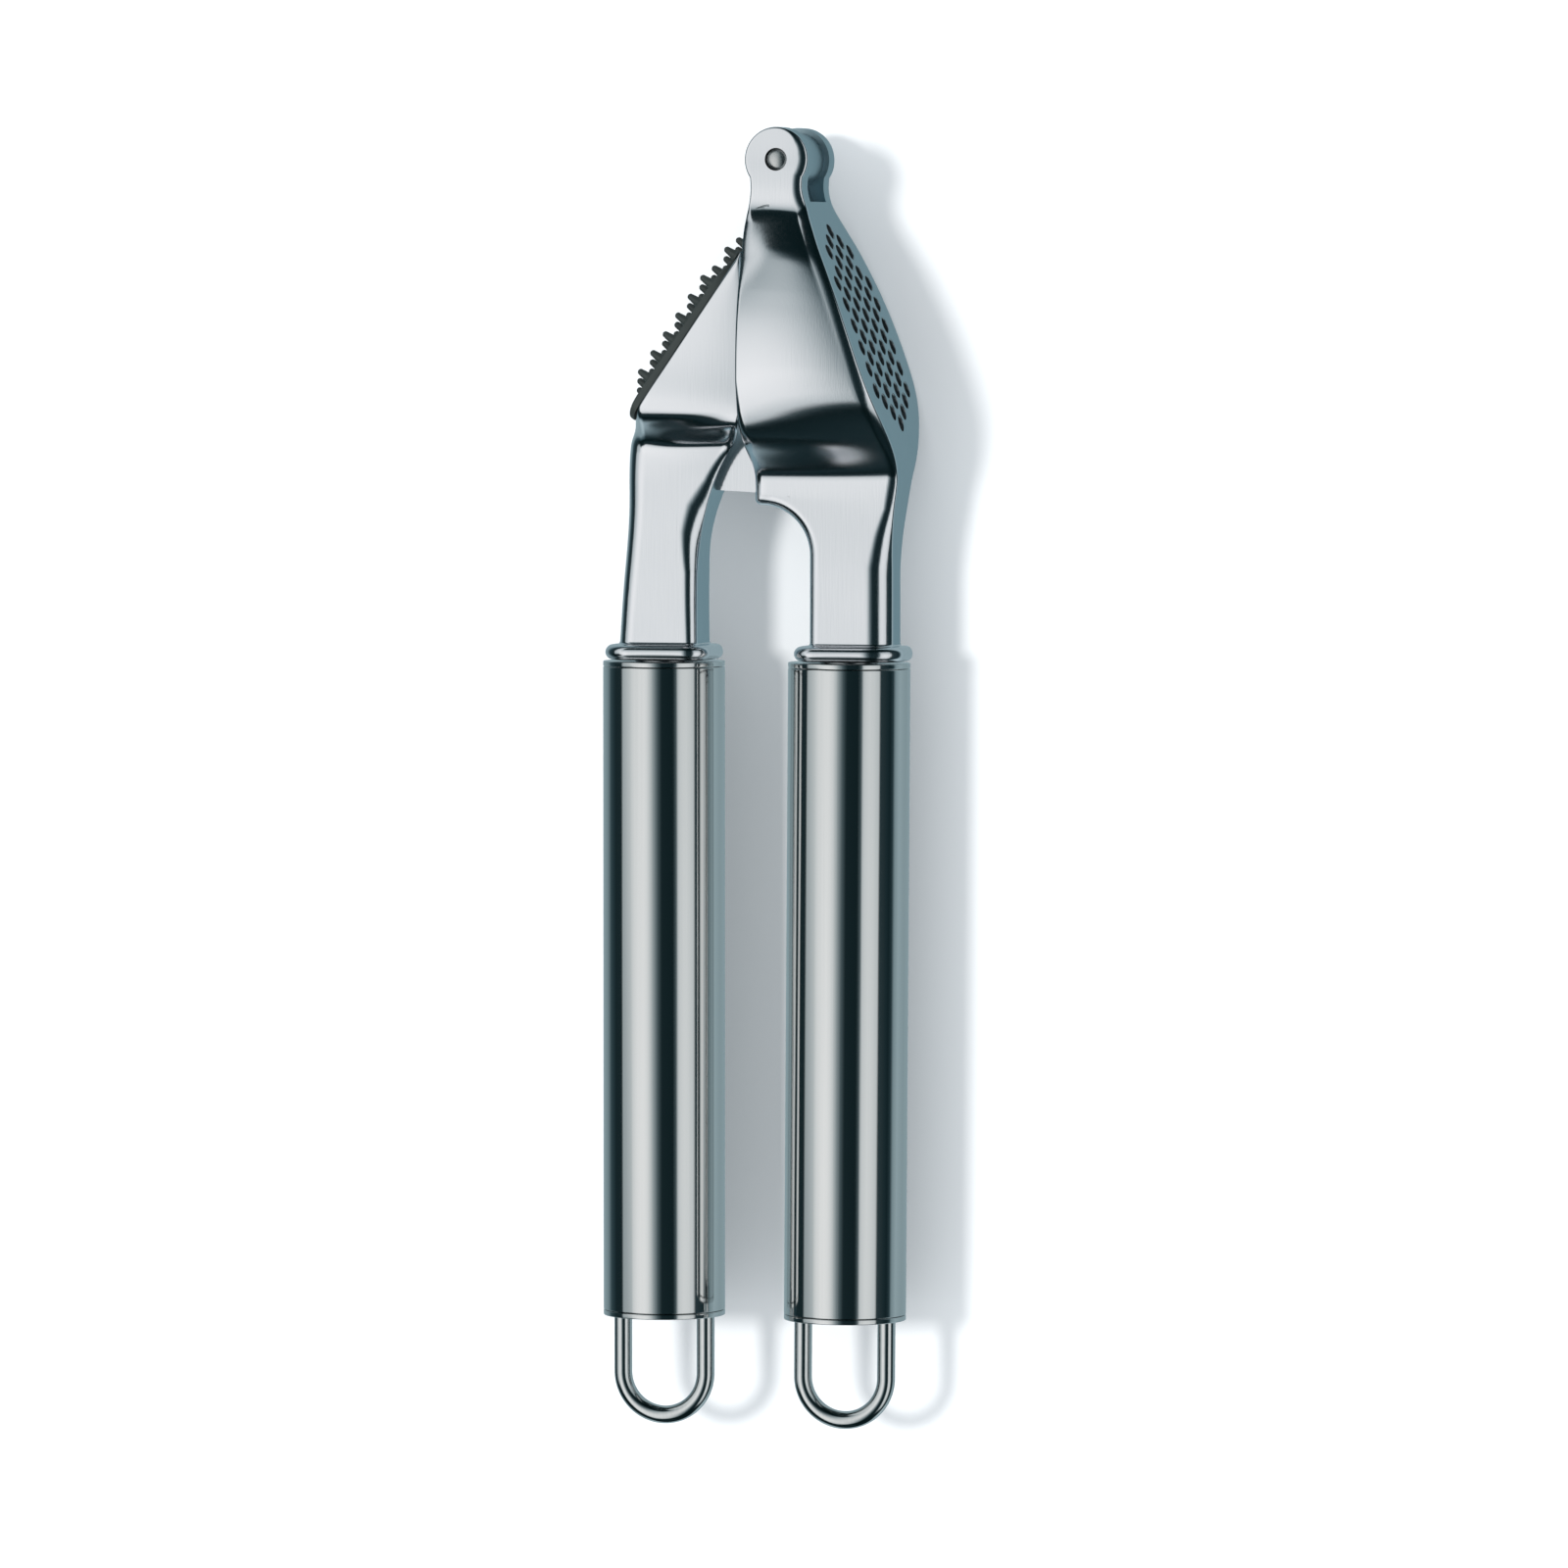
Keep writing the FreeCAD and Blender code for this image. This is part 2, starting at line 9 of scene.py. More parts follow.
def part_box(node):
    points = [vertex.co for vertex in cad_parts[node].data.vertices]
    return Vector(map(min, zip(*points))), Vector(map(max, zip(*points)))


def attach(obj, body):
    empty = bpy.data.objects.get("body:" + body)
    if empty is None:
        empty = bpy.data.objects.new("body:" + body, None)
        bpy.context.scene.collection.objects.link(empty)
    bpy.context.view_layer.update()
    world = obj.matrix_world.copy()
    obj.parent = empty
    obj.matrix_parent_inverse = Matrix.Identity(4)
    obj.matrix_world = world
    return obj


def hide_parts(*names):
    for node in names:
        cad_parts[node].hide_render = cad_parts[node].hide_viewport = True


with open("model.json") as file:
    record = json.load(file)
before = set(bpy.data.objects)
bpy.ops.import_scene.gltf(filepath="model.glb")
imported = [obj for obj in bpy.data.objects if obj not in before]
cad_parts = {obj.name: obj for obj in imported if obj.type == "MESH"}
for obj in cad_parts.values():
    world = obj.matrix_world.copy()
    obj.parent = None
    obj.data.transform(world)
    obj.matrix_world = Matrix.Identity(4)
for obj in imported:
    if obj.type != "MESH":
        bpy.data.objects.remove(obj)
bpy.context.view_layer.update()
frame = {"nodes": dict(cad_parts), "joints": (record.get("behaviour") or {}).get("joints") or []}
hinge = np.array(frame["joints"][0]["pos_m"])     # the pin's centre, where both arms turn
mm = 0.001
print("frame loaded, hinge at", hinge)


class Wire:
    # an output socket that takes part in arithmetic: each operator adds one Math node
    def __init__(self, tree, socket):
        self.tree = tree
        self.socket = socket

    def node(self, kind, settings=None, inputs=None, output=0):
        made = self.tree.nodes.new(kind)
        for name, value in (settings or {}).items():
            if name == "stops":
                fillRamp(made.color_ramp, value)
            else:
                setattr(made, name, value)
        for name, value in (inputs or {}).items():
            if isinstance(value, Wire):
                self.tree.links.new(value.socket, made.inputs[name])
            else:
                made.inputs[name].default_value = value
        return Wire(self.tree, made.outputs[output])

    def maths(self, operation, *values):
        return self.node("ShaderNodeMath", {"operation": operation}, dict(enumerate(values)))

    def __add__(self, other):
        return self.maths("ADD", self, other)

    def __sub__(self, other):
        return self.maths("SUBTRACT", self, other)

    def __rsub__(self, other):
        return self.maths("SUBTRACT", other, self)

    def __mul__(self, other):
        return self.maths("MULTIPLY", self, other)

    def __truediv__(self, other):
        return self.maths("DIVIDE", self, other)

    __radd__ = __add__
    __rmul__ = __mul__

    def clamped(self):
        return self.maths("MAXIMUM", self.maths("MINIMUM", self, 1.0), 0.0)


def fillRamp(ramp, stops):
    # stops: (place from 0 to 1, brightness); dark tones lean to a cool green-blue
    while len(ramp.elements) > 1:
        ramp.elements.remove(ramp.elements[-1])
    for number, (place, tone) in enumerate(stops):
        element = ramp.elements[0] if number == 0 else ramp.elements.new(place)
        element.position = place
        element.color = (tone ** 1.15, tone, tone ** 0.955, 1)


def newMaterial(name, **sockets):
    # a material with its Principled shader; constants go straight on the sockets
    material = bpy.data.materials.new(name)
    material.use_nodes = True
    shader = material.node_tree.nodes["Principled BSDF"]
    for key, value in sockets.items():
        shader.inputs[key].default_value = value
    start = Wire(material.node_tree, shader.outputs[0])
    place = start.node("ShaderNodeTexCoord", output=3)     # Object coordinates
    return material, shader, place


def feed(shader, wire, name):
    wire.tree.links.new(wire.socket, shader.inputs[name])


def stretched(place, scale, detail=2.0, grit=0.5):
    # noise on object coordinates, stretched by a different scale on each axis
    mapped = place.node("ShaderNodeMapping", inputs={"Vector": place, "Scale": scale})
    return place.node("ShaderNodeTexNoise", inputs={"Vector": mapped, "Scale": 1.0, "Detail": detail,
                                                    "Roughness": grit})


# finishes: a stretched grain and, on some, a broad cloud each add their share of roughness; the colour runs
# from one tone to another with the grain or the cloud, and the grain is the bump's height
metal = {"Metallic": 1.0}
looks = {
    # polished casting: long fine grinding lines along Y, faint clouding, a few hairline scratches
    "cast": {"name": "castSteel", "sockets": metal, "grain": (5200, 160, 5200), "detail": 3.0, "grit": 0.5,
             "cloud": (60, 60, 60), "rough": 0.06, "grainRough": 0.08, "cloudRough": 0.06, "tintBy": "cloud",
             "tones": [(0.92, 0.915, 0.935), (0.86, 0.865, 0.89)], "bump": 0.22, "depth": 0.00002,
             "scratch": (1500, 90, 1500), "scratchRough": 0.10, "scratchBump": 0.5},
    # belt-ground side faces: satin, with short lines across the belt; their darker teal-grey tones are
    # painted shade and reflection tint on the same steel as the front
    "side": {"name": "sideSteelPaintedShade", "sockets": metal, "grain": (900, 900, 9000), "detail": 3.0, "grit": 0.6,
             "cloud": (90, 90, 90), "rough": 0.25, "grainRough": 0.12, "cloudRough": 0.10, "tintBy": "grain",
             "tones": [(0.50, 0.64, 0.70), (0.55, 0.68, 0.73)], "bump": 0.15, "depth": 0.00002},
    # as-cast walls of the hollow, the throat and the sieve's holes
    "inner": {"name": "innerSteel", "sockets": metal, "grain": (1400, 1400, 1400), "detail": 4.0, "grit": 0.6,
              "rough": 0.22, "grainRough": 0.25, "tintBy": "grain",
              "tones": [(0.42, 0.45, 0.47), (0.58, 0.60, 0.61)], "bump": 0.25, "depth": 0.00004},
    # bright drawn tube: hair-thin drawing lines along Y
    "tube": {"name": "tubeSteel", "sockets": metal, "grain": (4200, 14, 4200), "detail": 4.0, "grit": 0.65,
             "cloud": (70, 25, 70), "rough": 0.02, "grainRough": 0.07, "cloudRough": 0.03, "tintBy": "grain",
             "tones": [(0.80, 0.80, 0.795), (0.73, 0.735, 0.73)], "bump": 0.10, "depth": 0.00002},
    # polished wire with fine die marks
    "wire": {"name": "wireSteel", "sockets": metal, "grain": (2600, 700, 2600), "detail": 3.0, "grit": 0.5,
             "rough": 0.05, "grainRough": 0.10, "tintBy": "grain",
             "tones": [(0.80, 0.80, 0.79), (0.70, 0.71, 0.71)], "bump": 0.10, "depth": 0.00002},
    # the pin's end: turned, duller than the casting
    "pin": {"name": "pinSteel", "sockets": metal, "grain": (2400, 2400, 2400), "detail": 3.0, "grit": 0.6,
            "rough": 0.14, "grainRough": 0.25, "tintBy": "grain",
            "tones": [(0.58, 0.58, 0.57), (0.74, 0.74, 0.73)], "bump": 0.2, "depth": 0.00003},
    # moulded black plastic with a fine spark-eroded grain
    "pad": {"name": "padPlastic", "sockets": {"Specular IOR Level": 0.45}, "grain": (5200, 5200, 5200),
            "detail": 3.0, "grit": 0.6, "cloud": (160, 160, 160), "rough": 0.27, "grainRough": 0.20,
            "cloudRough": 0.12, "tintBy": "cloud", "tones": [(0.020, 0.026, 0.024), (0.036, 0.044, 0.041)],
            "bump": 0.35, "depth": 0.00005},
}


def newFinish(look):
    material, shader, place = newMaterial(look["name"], **look["sockets"])
    grain = stretched(place, look["grain"], look["detail"], look["grit"])
    rough, height, share = grain * look["grainRough"] + look["rough"], grain, grain
    if "cloud" in look:
        cloud = stretched(place, look["cloud"])
        rough = rough + cloud * look["cloudRough"]
        share = cloud if look["tintBy"] == "cloud" else grain
    if "scratch" in look:
        scratch = ((stretched(place, look["scratch"], 4.0, 0.7) - 0.66) * 9.0).clamped()
        rough = rough + scratch * look["scratchRough"]
        height = grain + scratch * look["scratchBump"]
    first, second = look["tones"]
    tint = place.node("ShaderNodeMix", {"data_type": "RGBA"},
                      {0: share, 6: (*first, 1), 7: (*second, 1)}, output=2)
    bump = place.node("ShaderNodeBump", inputs={"Height": height, "Strength": look["bump"],
                                                "Distance": look["depth"]})
    feed(shader, rough, "Roughness")
    feed(shader, tint, "Base Color")
    feed(shader, bump, "Normal")
    return material


finish = {use: newFinish(look) for use, look in looks.items()}
print("finishes made")


def smoothThrough(points, count):
    # natural cubic spline through the points, by chord length, sampled evenly in its parameter
    points = np.array(points, float)
    knots = np.concatenate([[0], np.cumsum(np.linalg.norm(np.diff(points, axis=0), axis=1))])
    step = np.diff(knots)
    size = len(points)
    matrix = np.eye(size)
    right = np.zeros_like(points)
    inner = np.arange(1, size - 1)
    matrix[inner, inner - 1] = step[:-1]
    matrix[inner, inner] = 2 * (step[:-1] + step[1:])
    matrix[inner, inner + 1] = step[1:]
    slope = np.diff(points, axis=0) / step[:, None]
    right[1:-1] = 6 * np.diff(slope, axis=0)
    bend = np.linalg.solve(matrix, right)
    at = np.linspace(0, knots[-1], count)
    cell = np.clip(np.searchsorted(knots, at, side="right") - 1, 0, size - 2)
    a = ((knots[cell + 1] - at) / step[cell])[:, None]
    b = 1 - a
    width = (step[cell] ** 2)[:, None]
    return (a * points[cell] + b * points[cell + 1]
            + ((a ** 3 - a) * bend[cell] + (b ** 3 - b) * bend[cell + 1]) * width / 6)


def arcPoints(centre, radius, start, end, count):
    # centre + radius (cos, sin) from one angle to another, in degrees
    turn = np.radians(np.linspace(start, end, count))
    return np.stack([centre[0] + radius * np.cos(turn), centre[1] + radius * np.sin(turn)], axis=1)


def chained(*stretches):
    # stretches laid end to end, with points that repeat dropped
    line = np.concatenate([np.array(stretch, float) for stretch in stretches])
    keep = np.concatenate([[True], np.linalg.norm(np.diff(line, axis=0), axis=1) > 1e-6])
    return line[keep]


def respaced(line, count):
    # the same line with points evenly spaced along its length
    gone = np.concatenate([[0], np.cumsum(np.linalg.norm(np.diff(line, axis=0), axis=1))])
    at = np.linspace(0, gone[-1], count)
    return np.stack([np.interp(at, gone, line[:, axis]) for axis in range(line.shape[1])], axis=1)


def inwardNormals(line, side):
    # unit normals of a line, to its left (side 1) or right (side -1)
    tangent = np.gradient(line, axis=0)
    tangent /= np.maximum(np.linalg.norm(tangent, axis=1), 1e-9)[:, None]
    return np.stack([-tangent[:, 1], tangent[:, 0]], axis=1) * side


def gridFaces(rows, columns, wrapRows=False, wrapColumns=False):
    # quads of a rows x columns grid, each wrapping round if asked
    row = np.arange(rows if wrapRows else rows - 1)
    column = np.arange(columns if wrapColumns else columns - 1)
    first, second = np.meshgrid(row, column, indexing="ij")
    nextRow, nextColumn = (first + 1) % rows, (second + 1) % columns
    corners = [first * columns + second, nextRow * columns + second,
               nextRow * columns + nextColumn, first * columns + nextColumn]
    return np.stack([corner.ravel() for corner in corners], axis=1)


def meshFrom(name, parts):
    # one mesh from (points in mm about the hinge, faces) pairs, doubles merged and faces turned outwards
    mesh = bpy.data.meshes.new(name)
    points, faces, start = [], [], 0
    for partPoints, partFaces in parts:
        points.append(np.asarray(partPoints, float).reshape(-1, 3))
        faces += [[int(corner) + start for corner in face] for face in partFaces]
        start += len(points[-1])
    mesh.from_pydata((np.concatenate(points) * mm + hinge).tolist(), [], faces)
    work = bmesh.new()
    work.from_mesh(mesh)
    bmesh.ops.remove_doubles(work, verts=work.verts, dist=4e-6)
    bmesh.ops.recalc_face_normals(work, faces=work.faces)
    if work.calc_volume(signed=True) < 0:
        bmesh.ops.reverse_faces(work, faces=work.faces)
    work.to_mesh(mesh)
    work.free()
    thing = bpy.data.objects.new(name, mesh)
    bpy.context.scene.collection.objects.link(thing)
    return thing


def closedGrid(rings, startOpen=False):
    # a tube of rings, (count, around, 3), its ends closed by one face each unless the first has no width
    count, around = rings.shape[:2]
    faces = gridFaces(count, around, wrapColumns=True).tolist()
    if not startOpen:
        faces.append(list(range(around)))
    faces.append(list(range(count * around - 1, (count - 1) * around - 1, -1)))
    return rings.reshape(-1, 3), faces


def lathe(profile, origin, axis, around=96, closed=False):
    # profile of (radius, distance) turned about an axis: origin + distance axis + radius (u cos + v sin)
    profile = np.array(profile, float)
    axis = np.array(axis, float) / np.linalg.norm(axis)
    side = np.cross(axis, [0.3, 0.2, 1.0] if abs(axis[2]) < 0.9 else [1.0, 0.2, 0.3])
    side /= np.linalg.norm(side)
    other = np.cross(axis, side)
    turn = np.linspace(0, 2 * np.pi, around, endpoint=False)
    spoke = np.cos(turn)[:, None] * side + np.sin(turn)[:, None] * other
    rings = (np.array(origin) + profile[:, 1, None, None] * axis + profile[:, 0, None, None] * spoke[None])
    if closed:
        return rings.reshape(-1, 3), gridFaces(len(profile), around, wrapRows=True, wrapColumns=True).tolist()
    return closedGrid(rings)


def rounded(corners, radius, steps=6):
    # a profile whose inner corners are rounded: each corner becomes a quadratic curve of that reach
    corners = np.array(corners, float)
    line = [corners[0]]
    share = np.linspace(0, 1, steps)[:, None]
    for before, at, after in zip(corners, corners[1:], corners[2:]):
        back, ahead = before - at, after - at
        reach = min(radius, np.linalg.norm(back) * 0.49, np.linalg.norm(ahead) * 0.49)
        start = at + back / np.linalg.norm(back) * reach
        end = at + ahead / np.linalg.norm(ahead) * reach
        line += list((1 - share) ** 2 * start + 2 * share * (1 - share) * at + share ** 2 * end)
    line.append(corners[-1])
    return np.array(line)


def prism(outline, low, high):
    # a flat outline (x, y) carried along Z
    outline = np.array(outline, float)
    rings = np.stack([np.column_stack([outline, np.full(len(outline), level)]) for level in (low, high)])
    return closedGrid(rings)


def dress(thing, *materials):
    for material in materials:
        thing.data.materials.append(material)
    return thing


def finishPiece(thing, body, nodes, materials, crease=32):
    # smooth shading with creases, materials, and the CAD body and nodes it stands for
    if not len(thing.data.materials):
        dress(thing, *materials)
    thing.data.shade_smooth()
    thing.data.set_sharp_from_angle(angle=math.radians(crease))
    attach(thing, body)
    if nodes:
        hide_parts(*nodes)
    print("piece", thing.name, len(thing.data.polygons), "faces")
    return thing


def cutBy(thing, cutters, operation="DIFFERENCE"):
    # applies one Boolean after another and throws the cutters away
    for cutter in cutters:
        step = thing.modifiers.new(cutter.name, "BOOLEAN")
        step.operation = operation
        step.solver = "MANIFOLD"
        step.material_mode = "TRANSFER"
        step.object = cutter
        graph = bpy.context.evaluated_depsgraph_get()
        cut = bpy.data.meshes.new_from_object(thing.evaluated_get(graph))
        thing.modifiers.remove(step)
        old = thing.data
        thing.data = cut
        bpy.data.meshes.remove(old)
        bpy.data.objects.remove(cutter)
    return thing


armWays = {"across": 26, "wallSteps": 7, "earStations": 44, "stations": 230}
beadWays = {"start": 75.2, "height": 2.4, "overhang": 2.2, "fillet": 0.5}


def edgeShape(reach, turn, corner, lean):
    # a rounded edge per station, as distances drawn in from the wall and left to rise to the front:
    #   a corner of radius corner turns from the wall to a normal turn degrees off the front's,
    #   then a wide arc of radius reach / (sin turn - sin lean) eases it to the front's own lean
    turn, lean = np.radians(turn)[:, None], lean[:, None]
    reach, corner = reach[:, None], corner[:, None]
    wide = reach / (np.sin(turn) - np.sin(lean))
    tight = (np.pi / 2 - turn) * np.linspace(0, 1, 6)[None]
    easing = turn + (lean - turn) * np.linspace(0, 1, 15)[None, 1:]
    inward = np.concatenate([corner * (1 - np.cos(tight)),
                             corner * (1 - np.sin(turn)) + wide * (np.sin(turn) - np.sin(easing))], axis=1)
    rise = np.concatenate([corner * np.sin(tight),
                           corner * np.cos(turn) + wide * (np.cos(easing) - np.cos(turn))], axis=1)
    return inward, rise[:, -1:] - rise


def castRings(left, right, leftShape, rightShape, bias, crown):
    # a casting as rings round its section, station by station:
    #   wall      outline point, z between minus and plus (height - the edge's whole rise)
    #   edge      outline + inward normal * inward, z = height - what is left to rise
    #   front     from the right edge's end to the left edge's, its height mixed by share ** bias
    #             and lifted by crown * 4 share (1 - share)
    # and the same again mirrored in z; a shape is (height, reach, turn, corner) per station
    leftNormal, rightNormal = inwardNormals(left, 1), inwardNormals(right, -1)
    if np.linalg.norm(left[0] - right[0]) < 1e-6:
        rightShape = [np.concatenate([mine[:1], other[1:]]) for mine, other in zip(leftShape, rightShape)]
        leftNormal[0] = rightNormal[0] = (0, -1)
    leftHeight, leftReach, leftTurn, leftCorner = leftShape
    rightHeight, rightReach, rightTurn, rightCorner = rightShape
    width = np.maximum(np.linalg.norm(left - right, axis=1) - leftReach - rightReach, 1.0)
    rise = leftHeight - rightHeight
    rightLean = np.arctan(4 * crown / width)
    leftLean = np.arctan((4 * crown - bias * rise) / width)
    rightLean = np.clip(rightLean, -0.2, np.radians(rightTurn) - 0.15)
    leftLean = np.clip(leftLean, -0.2, np.radians(leftTurn) - 0.15)
    wall = np.linspace(-1, 1, armWays["wallSteps"] + 1)

    def wallAndEdge(line, normal, shape, lean):
        height, reach, turn, corner = shape
        inward, left = edgeShape(reach, turn, corner, lean)
        z = (height - left[:, 0])[:, None] * wall[None]
        flat = np.repeat(line[:, None], len(wall), axis=1)
        upright = np.concatenate([flat, z[..., None]], axis=2)
        flat = line[:, None] + normal[:, None] * inward[..., None]
        rounding = np.concatenate([flat, (height[:, None] - left)[..., None]], axis=2)
        return upright, rounding

    rightWall, rightRise = wallAndEdge(right, rightNormal, rightShape, rightLean)
    leftWall, leftRise = wallAndEdge(left, leftNormal, leftShape, leftLean)
    leftWall, leftFall = leftWall[:, ::-1], leftRise[:, ::-1]
    share = np.linspace(0, 1, armWays["across"] + 1)[None, :, None]
    front = rightRise[:, -1:, :] * (1 - share) + leftFall[:, :1, :] * share
    line = share[..., 0]
    front[..., 2] += rise[:, None] * (line ** bias[:, None] - line) + crown[:, None] * 4 * line * (1 - line)
    down = np.array([1, 1, -1.0])
    return np.concatenate([rightWall, rightRise[:, 1:], front[:, 1:-1], leftFall, leftWall[:, 1:],
                           leftFall[:, ::-1][:, 1:] * down, front[:, ::-1][:, 1:-1] * down,
                           rightRise[:, ::-1][:, :-1] * down], axis=1)


def along(y, *stops):
    # values by distance below the hinge, in straight steps between (distance, value) stops
    places, values = zip(*stops)
    return np.interp(-y, places, values)


def withBead(rings, shift):
    # the neck's last ring grown outwards in a full-round bead, then drawn in to close underneath
    last = rings[-1]
    following, before = np.roll(last, -1, axis=0), np.roll(last, 1, axis=0)
    tangent = following - before
    outward = np.stack([tangent[:, 2], np.zeros(len(last)), -tangent[:, 0]], axis=1)
    outward /= np.maximum(np.linalg.norm(outward, axis=1), 1e-9)[:, None]
    centre = last.mean(axis=0)
    if ((last - centre) * outward).sum() < 0:
        outward = -outward
    half, fillet = beadWays["height"] / 2, beadWays["fillet"]
    flat = beadWays["overhang"] - half
    turn = np.radians(np.linspace(90, -90, 17))
    steps = [(fillet * (1 - math.sin(a)), fillet * (1 - math.cos(a)) - 0.002) for a in turn[1:8]]
    steps += [(flat + half * math.cos(a), half * math.sin(a) - half) for a in turn]
    steps += [(-1.5, -2 * half), (-3.0, -2 * half)]
    extra = []
    for grow, drop in steps:
        ring = last + outward * grow
        ring[:, 0] += shift * min(1, max(grow, 0) / beadWays["overhang"])
        ring[:, 1] = -beadWays["start"] + drop
        extra.append(ring)
    return np.concatenate([rings, np.stack(extra)])


def heights(points, y):
    # a height curve through (y, height) points, as a smooth curve read at other y
    curve = smoothThrough(sorted(points), 1200)
    return np.interp(y, curve[:, 0], curve[:, 1])


leafWays = {"start": 11.6, "end": 45.0, "reach": 11.1}


def leafOutline(clearance):
    # the hollow's outline in (radius from the hinge, half width): two smooth curves that meet
    # the full width, mirrored below; a clearance draws it in all round
    start, end = leafWays["start"] + clearance, leafWays["end"] - clearance
    reach = leafWays["reach"] - clearance
    entry = smoothThrough([(start, 0), (start + 1.1, 0.33 * reach), (start + 4.5, 0.74 * reach),
                           (start + 9.9, reach)], 22)
    leave = smoothThrough([(end - 6.5, reach), (end - 3.0, 0.74 * reach), (end - 0.8, 0.34 * reach),
                           (end, 0)], 22)
    upper = chained(entry, leave)
    return np.concatenate([upper, upper[-2:0:-1] * [1, -1]])


def swungLeaf(clearance, ahead, behind, steps=40):
    # the leaf outline swung about the hinge: (r sin a, -r cos a, z), a from -behind to ahead
    outline = leafOutline(clearance)
    turn = np.radians(np.linspace(-behind, ahead, steps))[:, None]
    radius, z = outline[None, :, 0], outline[None, :, 1]
    rings = np.stack([radius * np.sin(turn), -radius * np.cos(turn),
                      np.broadcast_to(z, (steps, len(outline)))], axis=2)
    return closedGrid(rings)


sieveWays = {"tilt": 22.33, "rowPitch": 1.764, "columnPitch": 6.13, "firstRow": 12.69, "holeRadius": 1.25}


def sieveSpots():
    # (across, along the face) of each hole, and of each nub on the pad
    inRow = [1, 2, 3] + [2, 3] + [4, 3] * 6 + [2, 1]
    first, rowPitch, columnPitch = sieveWays["firstRow"], sieveWays["rowPitch"], sieveWays["columnPitch"]
    return [((place - (count - 1) / 2) * columnPitch, first + row * rowPitch)
            for row, count in enumerate(inRow) for place in range(count)]


hopperWays = {"ear": 5.0, "waist": 4.15, "reach": 8.4, "parting": -4.7, "neckDepth": 4.6,
              "slot": 4.65, "slotFloor": -6.5, "throat": 14.3, "stop": 22.3, "bore": 1.76}


